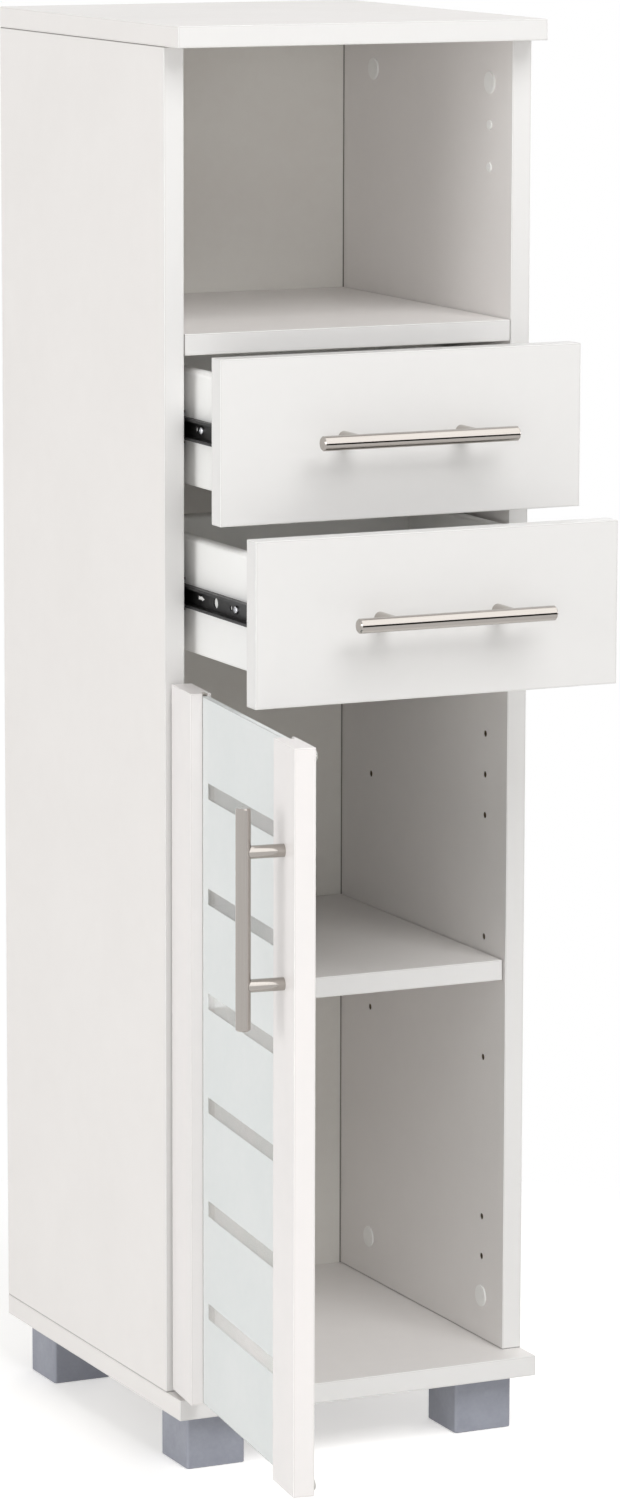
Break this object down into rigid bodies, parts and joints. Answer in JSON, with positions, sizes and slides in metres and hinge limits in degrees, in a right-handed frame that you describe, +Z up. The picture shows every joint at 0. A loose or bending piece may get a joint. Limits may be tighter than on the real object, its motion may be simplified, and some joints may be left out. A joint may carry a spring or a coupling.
{
  "type": "tall bathroom cabinet",
  "caption": "Tall narrow white cabinet on block feet, with an open niche, drawers on ball slides with bar handles, and a hinged door of frosted striped glass between stiles.",
  "frame": {"origin": "on the floor, under the middle of the base panel", "axes": "+X to the right of someone facing the cabinet, +Y to its back, +Z up"},
  "size_m": [0.3674, 0.6128, 1.094],
  "materials": {
    "white_board": "white satin melamine on particle board",
    "white_hardboard": "white lacquered hardboard",
    "frosted_glass": "satin etched with clear stripes",
    "brushed_handle": "brushed satin nickel",
    "black_rail": "black coated steel",
    "cage_steel": "pressed steel",
    "bright_steel": "bright zinc plated",
    "plated_fitting": "nickel plated",
    "foot_plastic": "blue grey moulded plastic",
    "cap_plastic": "moulded white plastic",
    "clear_bumper": "soft clear pad",
    "beech_dowel": "plain beech"
  },
  "bodies": {
    "carcass": {"top_panel": "white_board", "base_panel": "white_board", "left_side": "white_board", "right_side": "white_board", "niche_shelf": "white_board", "adjustable_shelf": "white_board", "front_left_foot": "foot_plastic", "front_right_foot": "foot_plastic", "rear_left_foot": "foot_plastic", "rear_right_foot": "foot_plastic", "back_panel": "white_hardboard", "shelf_pins": "bright_steel", "foot_screws": "bright_steel", "cam_locks": "plated_fitting", "cam_bolts": "bright_steel", "cam_caps": "cap_plastic", "carcass_dowels": "beech_dowel", "hole_plugs": "cap_plastic", "hinge_plates": "plated_fitting", "hinge_plate_screws": "bright_steel", "hinge_arms": "plated_fitting", "hinge_arm_screws": "bright_steel", "cabinet_rails": "black_rail", "cabinet_rail_screws": "bright_steel"},
    "door": {"door_hinge_stile": "white_board", "door_handle_stile": "white_board", "door_glass": "frosted_glass", "door_handle_bar": "brushed_handle", "door_handle_posts": "brushed_handle", "door_handle_screws": "bright_steel", "door_bumpers": "clear_bumper", "hinge_cups": "plated_fitting", "hinge_cup_screws": "bright_steel", "hinge_pins": "bright_steel"},
    "upper_drawer": {"upper_drawer_front": "white_board", "upper_drawer_left_side": "white_board", "upper_drawer_right_side": "white_board", "upper_drawer_back": "white_board", "upper_drawer_bottom": "white_hardboard", "upper_drawer_dowels": "beech_dowel", "upper_drawer_handle_bar": "brushed_handle", "upper_drawer_handle_posts": "brushed_handle", "upper_drawer_handle_screws": "bright_steel", "upper_drawer_rails": "black_rail", "upper_drawer_rail_screws": "bright_steel"},
    "upper_drawer_cages": {"upper_drawer_ball_cages": "cage_steel", "upper_drawer_balls": "bright_steel"},
    "lower_drawer": {"lower_drawer_front": "white_board", "lower_drawer_left_side": "white_board", "lower_drawer_right_side": "white_board", "lower_drawer_back": "white_board", "lower_drawer_bottom": "white_hardboard", "lower_drawer_dowels": "beech_dowel", "lower_drawer_handle_bar": "brushed_handle", "lower_drawer_handle_posts": "brushed_handle", "lower_drawer_handle_screws": "bright_steel", "lower_drawer_rails": "black_rail", "lower_drawer_rail_screws": "bright_steel"},
    "lower_drawer_cages": {"lower_drawer_ball_cages": "cage_steel", "lower_drawer_balls": "bright_steel"}
  },
  "joints": [
    {"name": "upper_drawer_slide", "type": "slide", "parent": "carcass", "child": "upper_drawer", "axis": [0, -1, 0], "range_m": [-0.0725, 0.1095]},
    {"name": "upper_drawer_cage_slide", "type": "slide", "parent": "carcass", "child": "upper_drawer_cages", "axis": [0, -1, 0], "range_m": [-0.03625, 0.05475]},
    {"name": "lower_drawer_slide", "type": "slide", "parent": "carcass", "child": "lower_drawer", "axis": [0, -1, 0], "range_m": [-0.134, 0.048]},
    {"name": "lower_drawer_cage_slide", "type": "slide", "parent": "carcass", "child": "lower_drawer_cages", "axis": [0, -1, 0], "range_m": [-0.067, 0.024]},
    {"name": "door_hinge", "type": "hinge", "parent": "carcass", "child": "door", "pos_m": [-0.1405, -0.1555, 0.3345], "axis": [0, 0, -1], "range_deg": [-97, 8]}
  ],
  "couplings": [
    {"joint": "upper_drawer_cage_slide", "follows": "upper_drawer_slide", "ratio": 0.5},
    {"joint": "lower_drawer_cage_slide", "follows": "lower_drawer_slide", "ratio": 0.5}
  ]
}
